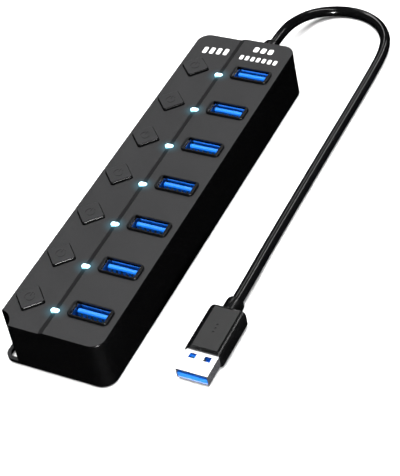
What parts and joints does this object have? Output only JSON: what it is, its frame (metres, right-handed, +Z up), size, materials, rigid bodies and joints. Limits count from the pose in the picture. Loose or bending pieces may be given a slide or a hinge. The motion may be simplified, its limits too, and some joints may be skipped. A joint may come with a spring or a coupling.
{
  "type": "usb hub",
  "caption": "Slim USB 3.0 hub: upright blue type A sockets in a row, a diamond button and a light for each, and a short lead with a type A plug.",
  "frame": {"origin": "on the surface that the feet stand on, under the middle of the case", "axes": "+X along the case towards the end where the lead leaves, +Y towards the buttons, +Z up out of the sockets"},
  "size_m": [0.2163, 0.0752, 0.0216],
  "materials": {
    "case_grey": "fine matt texture",
    "base_black": "satin",
    "button_grey": "fine matt texture",
    "switch_black": "satin",
    "switch_white": "satin",
    "socket_blue": "satin",
    "shell_steel": "nickel plated",
    "plug_steel": "nickel plated",
    "contact_gold": "gold plated",
    "screw_steel": "plain steel",
    "led_glow": "clear with a pale blue glow",
    "board_green": "solder mask",
    "chip_black": "moulded",
    "connector_cream": "moulded",
    "lead_plastic": "extruded",
    "foot_rubber": "matt",
    "cable_black": "satin jacket",
    "plug_black": "satin moulding"
  },
  "bodies": {
    "hub": {"top_cover": "case_grey", "bottom_plate": "base_black", "rubber_feet": "foot_rubber", "case_screws": "screw_steel", "circuit_board": "board_green", "hub_controllers": "chip_black", "crystal_oscillator": "shell_steel", "capacitors": "shell_steel", "voltage_regulator": "chip_black", "resistors": "chip_black", "cable_connector": "connector_cream", "cable_leads": "lead_plastic", "indicator_leds": "led_glow", "light_guides": "led_glow", "port_contacts": "contact_gold", "switch_housings": "switch_black", "switch_terminals": "shell_steel", "cable_strain_relief": "cable_black", "usb_cable": "cable_black", "plug_body": "plug_black", "plug_shell": "plug_steel", "plug_insulator": "socket_blue", "plug_contacts": "contact_gold", "port_shell_1": "shell_steel", "port_tongue_1": "socket_blue", "spring_1": "screw_steel", "port_shell_2": "shell_steel", "port_tongue_2": "socket_blue", "spring_2": "screw_steel", "port_shell_3": "shell_steel", "port_tongue_3": "socket_blue", "spring_3": "screw_steel", "port_shell_4": "shell_steel", "port_tongue_4": "socket_blue", "spring_4": "screw_steel", "port_shell_5": "shell_steel", "port_tongue_5": "socket_blue", "spring_5": "screw_steel", "port_shell_6": "shell_steel", "port_tongue_6": "socket_blue", "spring_6": "screw_steel", "port_shell_7": "shell_steel", "port_tongue_7": "socket_blue", "spring_7": "screw_steel"},
    "switch_1": {"button_1": "button_grey", "plunger_1": "switch_white"},
    "switch_2": {"button_2": "button_grey", "plunger_2": "switch_white"},
    "switch_3": {"button_3": "button_grey", "plunger_3": "switch_white"},
    "switch_4": {"button_4": "button_grey", "plunger_4": "switch_white"},
    "switch_5": {"button_5": "button_grey", "plunger_5": "switch_white"},
    "switch_6": {"button_6": "button_grey", "plunger_6": "switch_white"},
    "switch_7": {"button_7": "button_grey", "plunger_7": "switch_white"}
  },
  "joints": [
    {"name": "button_1_press", "type": "slide", "parent": "hub", "child": "switch_1", "axis": [0, 0, -1], "range_m": [-0.0015, 0.0005], "stiffness_N_per_m": 300, "deforming": ["spring_1"]},
    {"name": "button_2_press", "type": "slide", "parent": "hub", "child": "switch_2", "axis": [0, 0, -1], "range_m": [-0.0015, 0.0005], "stiffness_N_per_m": 300, "deforming": ["spring_2"]},
    {"name": "button_3_press", "type": "slide", "parent": "hub", "child": "switch_3", "axis": [0, 0, -1], "range_m": [-0.0015, 0.0005], "stiffness_N_per_m": 300, "deforming": ["spring_3"]},
    {"name": "button_4_press", "type": "slide", "parent": "hub", "child": "switch_4", "axis": [0, 0, -1], "range_m": [-0.0015, 0.0005], "stiffness_N_per_m": 300, "deforming": ["spring_4"]},
    {"name": "button_5_press", "type": "slide", "parent": "hub", "child": "switch_5", "axis": [0, 0, -1], "range_m": [-0.0015, 0.0005], "stiffness_N_per_m": 300, "deforming": ["spring_5"]},
    {"name": "button_6_press", "type": "slide", "parent": "hub", "child": "switch_6", "axis": [0, 0, -1], "range_m": [-0.0015, 0.0005], "stiffness_N_per_m": 300, "deforming": ["spring_6"]},
    {"name": "button_7_press", "type": "slide", "parent": "hub", "child": "switch_7", "axis": [0, 0, -1], "range_m": [-0.0015, 0.0005], "stiffness_N_per_m": 300, "deforming": ["spring_7"]}
  ]
}
